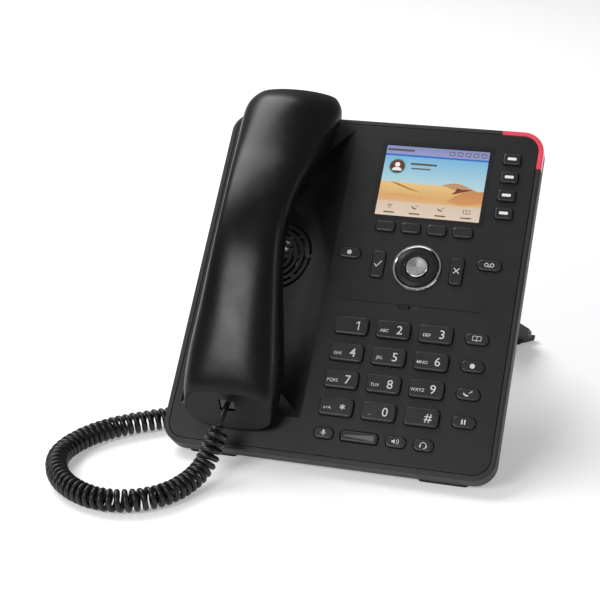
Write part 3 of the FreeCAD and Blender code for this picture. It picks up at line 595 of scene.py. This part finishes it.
RING = screen_mat("screen_ring", "3f9a94", "3f9a94", 0.0, 20.0)

layers = [
    ("screen_sky", Print().poly([(-W / 2, -H / 2), (W / 2, -H / 2),
                                 (W / 2, H / 2), (-W / 2, H / 2)]), SKY),
    ("screen_far", Print().poly(hills(dunes(
        -1.6, 0.0, [(2.0, 5.2, -0.9), (0.7, 11.0, 0.6)]))), FAR),
    ("screen_middle", Print().poly(hills(dunes(
        -1.6, -0.085, [(0.9, 7.0, 1.5), (0.5, 3.6, 0.0)]))), MID),
    ("screen_shade", Print().poly([(11.2, -5.6), (13.2, -3.6), (14.0, -1.6),
                                   (16.8, -2.2), (23.4, -2.0), (20.0, -3.0),
                                   (16.2, -4.2), (13.6, -5.2)]), SHADE),
    ("screen_ridge", Print().poly([(-24.0, -0.6), (-19.0, -1.4),
                                   (-13.0, -3.6), (-4.0, -6.4), (-13.0, -4.6),
                                   (-19.0, -2.4)]), RIDGE),
    ("screen_warm", Print().poly([(8.0, -12.6), (12.0, -7.6), (17.0, -4.4),
                                  (W / 2, -2.6), (W / 2, -12.6)]), WARM),
    ("screen_near", Print().poly(hills(dunes(
        -9.4, -0.02, [(1.5, 9.0, 2.9), (0.5, 4.2, 0.4)]))), NEAR),
    ("screen_soft_bar", Print().box(0, -H / 2 + 4.6, W, 9.2), SOFT),
    ("screen_status", Print().box(0, H / 2 - 2.6, W, 5.2), BAR),
    ("screen_rule", Print().box(0, H / 2 - 5.7, W, 1.1), RULE)]
for i, (name, art, look) in enumerate(layers):
    art.place(name, "housing", look, LCD_X, LCD_Y, LAYER + SHEET * i,
              "lcd_panel")
TOP = LAYER + SHEET * len(layers)

AV_X, AV_Y = -21.2, 8.9         # caller's picture, with two bars beside it
signs = Print()
signs.box(AV_X + 14.6, 11.0, 14.6, 1.2, 0.3)
signs.box(AV_X + 13.4, 8.2, 11.0, 0.8, 0.3)
signs.place("screen_signs", "housing", DARK, LCD_X, LCD_Y, TOP, "lcd_panel")
SIGN_LOW, SIGN_HIGH = H / 2 - 3.7, H / 2 - 1.6
bars = Print()
bars.box(-20.6, H / 2 - 2.5, 15.0, 1.3, 0.3)
for i in range(5):
    x = 8.2 + 4.4 * i
    x0, x1 = x - 1.3, x + 1.3
    bars.line([(x0, SIGN_LOW), (x1, SIGN_LOW), (x1, SIGN_HIGH),
               (x0, SIGN_HIGH), (x0, SIGN_LOW)], 0.4)
bars.place("screen_status_signs", "housing", DARK, LCD_X, LCD_Y, TOP,
           "lcd_panel")

ring = Print().disc(AV_X, AV_Y, 4.6, 48)
ring.place("screen_avatar_ring", "housing", RING, LCD_X, LCD_Y, TOP,
           "lcd_panel")
avatar = Print().disc(AV_X, AV_Y, 4.0, 48)
avatar.place("screen_avatar_ground", "housing", SHADE, LCD_X, LCD_Y,
             TOP + 0.012, "lcd_panel")
person = Print().disc(AV_X, AV_Y + 1.1, 1.45)
person.poly([(AV_X - 2.8, AV_Y - 2.6), (AV_X + 2.8, AV_Y - 2.6),
             (AV_X + 2.4, AV_Y - 1.4), (AV_X + 1.4, AV_Y - 0.7),
             (AV_X, AV_Y - 0.5), (AV_X - 1.4, AV_Y - 0.7),
             (AV_X - 2.4, AV_Y - 1.4)])
person.place("screen_avatar", "housing", SIGN, LCD_X, LCD_Y, TOP + 0.024,
             "lcd_panel")

dark = Print()
for i in range(4):
    x = -21.3 + 14.2 * i
    y = -H / 2 + 6.0
    if i == 0:
        dark.line([(x - 1.5, y + 1.0), (x + 1.5, y + 1.0)], 0.35)
        dark.line([(x - 1.0, y), (x + 1.0, y)], 0.35)
        dark.line([(x - 0.4, y - 1.0), (x + 0.4, y - 1.0)], 0.35)
    elif i < 3:
        dark.arc(x, y + 1.4, 1.9, 200, 290, 0.7)
        dark.line([(x + 0.2, y + 0.6), (x + 1.5, y + 1.6)], 0.3)
    else:
        for s in (-1, 1):
            dark.line([(x, y - 1.1), (x + s * 1.8, y - 0.9),
                       (x + s * 1.8, y + 1.2), (x, y + 0.9)], 0.3)
        dark.line([(x, y - 1.1), (x, y + 0.9)], 0.3)
    dark.box(x, -H / 2 + 2.4, 6.0, 0.75, 0.25)
dark.place("screen_soft_signs", "housing", DARK, LCD_X, LCD_Y, TOP,
           "lcd_panel")

# black paint round the screen, out over the window's edge
RIM_W, RIM_H = 62.9, 48.3
border = Print()
for side in (-1, 1):
    border.box(0, side * (H + RIM_H) / 4, RIM_W, (RIM_H - H) / 2)
    border.box(side * (W + RIM_W) / 4, 0, (RIM_W - W) / 2, H + 0.2)
border.place("window_border", "housing", PAINT, LCD_X, LCD_Y, 0.02,
             "display_glass")

# -------------------------------------------------------------------- cord
WIRE = 3.0              # jacket of the cord
COIL = 12.0             # outside of its turns
PITCH = 3.85            # from one turn to the next
# the handset's end face, in y and n, and the cord's hole in it
END_LOW, END_HIGH = Vector((10.4, 2.9)), Vector((22.4, 24.0))
HOLE_UP = 0.66
HOLE_X = -50.8
STRAIGHT = 7.5          # straight out of the hole
end_dir = (END_HIGH - END_LOW).normalized()
hole = END_LOW + (END_HIGH - END_LOW) * HOLE_UP
out = Vector((-end_dir.y, end_dir.x))
ROUTE = [at(HOLE_X, hole.x - out.x, hole.y - out.y),
         at(HOLE_X, hole.x + out.x * STRAIGHT, hole.y + out.y * STRAIGHT)]
for p in ((-52.2, -14.2, 21.8), (-55.4, -23.0, 9.4), (-59.8, -36.5, 6.3),
          (-67.0, -51.0, 6.2), (-80.0, -61.0, 6.3), (-97.0, -63.8, 6.2),
          (-115.0, -57.0, 6.3), (-128.8, -43.6, 6.2), (-136.2, -25.0, 6.3),
          (-131.6, -4.6, 6.2), (-120.0, 11.8, 6.3), (-104.4, 24.6, 6.2),
          (-88.4, 34.6, 6.3), (-74.6, 46.0, 7.2), (-65.0, 55.2, 15.2)):
    ROUTE.append(on_table(*p))
JACK_X, JACK_N = -60.0, -29.0
ROUTE += [at(JACK_X, 68.5, JACK_N), at(JACK_X, 83.0, JACK_N)]


def nurbs_line(points, name):
    """Points along one open NURBS spline with these control points."""
    curve = bpy.data.curves.new(name, "CURVE")
    curve.dimensions = "3D"
    curve.resolution_u = 24
    spline = curve.splines.new("NURBS")
    spline.points.add(len(points) - 1)
    for point, p in zip(spline.points, points):
        point.co = (p.x, p.y, p.z, 1.0)
    spline.order_u = 3
    spline.use_endpoint_u = True
    holder = bpy.data.objects.new(name, curve)
    mesh = bpy.data.meshes.new_from_object(holder)
    line = [v.co.copy() for v in mesh.vertices]
    bpy.data.meshes.remove(mesh)
    bpy.data.objects.remove(holder)
    bpy.data.curves.remove(curve)
    return line


def lengths(line):
    """Distance run at each point."""
    so_far = [0.0]
    for a, b in zip(line, line[1:]):
        so_far.append(so_far[-1] + (b - a).length)
    return so_far


def frames(line):
    """Tangent and a normal that doesn't twist, at each point."""
    pairs = []
    normal = None
    for i in range(len(line)):
        a = line[max(i - 1, 0)]
        b = line[min(i + 1, len(line) - 1)]
        t = (b - a).normalized()
        if normal is None:
            normal = t.orthogonal().normalized()
        normal = (normal - t * normal.dot(t)).normalized()
        pairs.append((t, normal))
    return pairs


def smooth(x):
    x = min(max(x, 0.0), 1.0)
    return x * x * (3 - 2 * x)


centre = nurbs_line(ROUTE, "cord_route")
run = lengths(centre)
turned = frames(centre)
TOTAL = run[-1]
COIL_A = 0.0135         # the coils begin and end here, in metres
COIL_B = TOTAL - 0.060
COIL_GROWS = 0.0042     # over this length they reach their full size
STEPS = 26              # points in a turn
TAIL_STEP = 0.0011


def along(s):
    """Centre, tangent and normal at distance s."""
    lo, hi = 0, len(run) - 1
    while hi - lo > 1:
        mid = (lo + hi) // 2
        if run[mid] <= s:
            lo = mid
        else:
            hi = mid
    f = (s - run[lo]) / max(run[hi] - run[lo], 1e-9)
    p = centre[lo].lerp(centre[hi], f)
    t = turned[lo][0].lerp(turned[hi][0], f).normalized()
    n = turned[lo][1].lerp(turned[hi][1], f)
    n = (n - t * n.dot(t)).normalized()
    return p, t, n


def helix():
    """Wire's centreline: straight tail, coils, straight tail."""
    pts = []
    s = 0.0
    angle = 0.6
    radius = (COIL - WIRE) / 2000
    while s < COIL_A:
        pts.append(along(s)[0])
        s += TAIL_STEP
    s = COIL_A
    while s < COIL_B:
        p, t, n = along(s)
        grow = (smooth((s - COIL_A) / COIL_GROWS)
                * smooth((COIL_B - s) / COIL_GROWS))
        # no two turns are quite the same size or distance apart
        wobble = 1.0 + 0.018 * math.sin(s * 610.0) + 0.012 * math.sin(s * 171)
        b = t.cross(n)
        reach = radius * grow * min(wobble, 1.0)
        pts.append(p + (n * math.cos(angle) + b * math.sin(angle)) * reach)
        angle += 2 * math.pi / STEPS
        loose = 1.0 + 0.04 * math.sin(s * 95.0)
        s += PITCH / 1000 * loose / STEPS
    s = COIL_B
    while s < TOTAL:
        pts.append(along(s)[0])
        s += TAIL_STEP
    pts.append(centre[-1])
    return pts


def tube(name, line, radius, sides=10):
    """Round mesh tube along the line, with closed ends."""
    bm = bmesh.new()
    rings = []
    for p, (t, n) in zip(line, frames(line)):
        b = t.cross(n)
        ring = []
        for k in range(sides):
            a = 2 * math.pi * k / sides
            ring.append(bm.verts.new(
                p + (n * math.cos(a) + b * math.sin(a)) * radius))
        rings.append(ring)
    for r0, r1 in zip(rings, rings[1:]):
        for k in range(sides):
            j = (k + 1) % sides
            bm.faces.new((r0[k], r0[j], r1[j], r1[k]))
    bm.faces.new(list(reversed(rings[0])))
    bm.faces.new(rings[-1])
    for f in bm.faces:
        f.smooth = True
    mesh = bpy.data.meshes.new(name)
    bm.to_mesh(mesh)
    bm.free()
    obj = bpy.data.objects.new(name, mesh)
    bpy.context.scene.collection.objects.link(obj)
    return obj


wire_line = helix()
wire = tube("curly_cord", wire_line, WIRE / 2000)
wire.data.materials.append(CORD.mat)
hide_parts("handset_cord", "cord_tail_upper", "cord_tail_lower")
tuple(ROUTE[0])
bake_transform(wire)
lengths(wire_line)[-1]

# ------------------------------------------------------------------- stage
floor_mesh = bpy.data.meshes.new("floor")
SPAN = 6.0
floor_mesh.from_pydata([(-SPAN, -SPAN, 0), (SPAN, -SPAN, 0), (SPAN, SPAN, 0),
                        (-SPAN, SPAN, 0)], [], [(0, 1, 2, 3)])
floor = bpy.data.objects.new("floor", floor_mesh)
bpy.context.scene.collection.objects.link(floor)
FLOOR = Mat("floor_paper", (0.93, 0.93, 0.93, 1), 0.75, spec=0.2)
FLOOR.tint(FLOOR.noise(3.0, 2.0), 0.004).glow("ffffff", 0.3)
floor_mesh.materials.append(FLOOR.mat)

world = bpy.data.worlds.new("studio")
bpy.context.scene.world = world
world.use_nodes = True
sky = world.node_tree.nodes["Background"]
sky.inputs["Color"].default_value = (1, 1, 1, 1)
sky.inputs["Strength"].default_value = 0.2
bpy.context.scene.view_settings.view_transform = "Standard"


def lamp(name, place, target, size, power):
    """Soft box at place that looks at target."""
    data = bpy.data.lights.new(name, "AREA")
    data.shape = "RECTANGLE"
    data.size, data.size_y = size
    data.energy = power
    obj = bpy.data.objects.new(name, data)
    bpy.context.scene.collection.objects.link(obj)
    obj.location = place
    aim = Vector(target) - Vector(place)
    obj.rotation_euler = aim.to_track_quat("-Z", "Y").to_euler()


lamp("top_box", (-0.9, 0.5, 1.35), (0, 0, 0), (1.3, 1.1), 22)
lamp("front_box", (-0.38, -0.92, 0.62), (0, 0, 0.05), (0.42, 0.34), 5.2)
lamp("right_strip", (1.0, -0.25, 0.45), (0, 0, 0.1), (0.12, 0.6), 1.2)

# ------------------------------------------------------------------ camera
EYE = (183.04, -657.94, 375.28)         # over the table, in millimetres
RIGHT = (0.95986, 0.28042, -0.00571)
BACK = (0.26192, -0.88891, 0.37583)     # from the phone to the eye
camera_data = bpy.data.cameras.new("camera")
camera_data.sensor_width = 36.0
camera_data.lens = 89.904
camera_data.clip_end = 50.0
camera = bpy.data.objects.new("camera", camera_data)
bpy.context.scene.collection.objects.link(camera)
right = Vector(RIGHT).normalized()
back = Vector(BACK).normalized()
up = back.cross(right).normalized()
right = up.cross(back)
pose = Matrix((right, up, back)).transposed().to_4x4()
camera.matrix_world = Matrix.Translation(on_table(*EYE)) @ pose
bpy.context.scene.camera = camera
